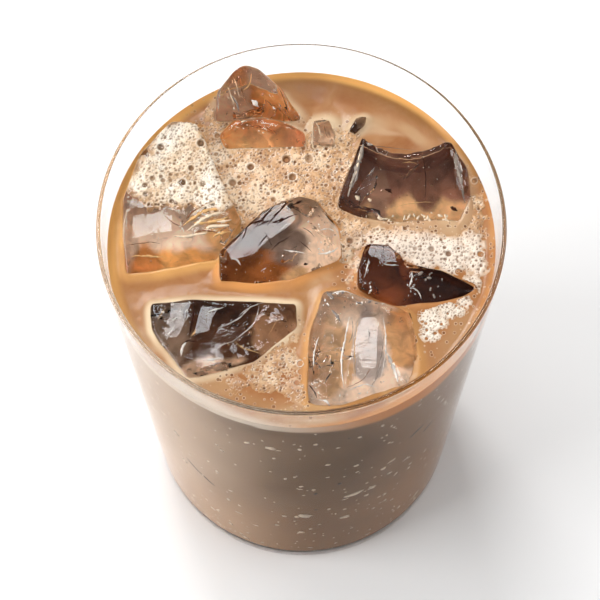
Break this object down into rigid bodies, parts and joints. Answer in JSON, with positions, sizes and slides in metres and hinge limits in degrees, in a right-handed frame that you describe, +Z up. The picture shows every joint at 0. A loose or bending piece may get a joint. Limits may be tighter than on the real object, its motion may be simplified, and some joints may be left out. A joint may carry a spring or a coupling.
{
  "type": "iced milk coffee in a glass",
  "caption": "Clear tapered tumbler filled near the rim with milky iced coffee, broken ice standing out of it and patches of bubbly froth between the ice.",
  "frame": {"origin": "centre of the underside, on the plane of the foot ring", "axes": "+Z up through the rim; -Y towards the side seen in front, +X to its right"},
  "size_m": [0.08, 0.08, 0.111],
  "materials": {
    "clear_glass": "thin clear smooth glass",
    "milk_coffee": "opaque milky coffee with a wet gloss",
    "froth": "fine pale froth full of small bubbles",
    "ice": "wet clear ice with cracks, tinted by the coffee",
    "dark_ice": "wet ice stained dark brown"
  },
  "bodies": {
    "root": {"glass": "clear_glass", "coffee": "milk_coffee", "froth_back": "froth", "froth_right": "froth", "froth_front": "froth", "ice_left": "ice", "ice_back_low": "ice", "ice_back_tall": "ice", "ice_back_chip": "ice", "ice_sliver": "ice", "ice_back_right": "ice", "ice_centre": "ice", "ice_right": "dark_ice", "ice_front_left": "ice", "ice_front": "ice"}
  },
  "joints": []
}
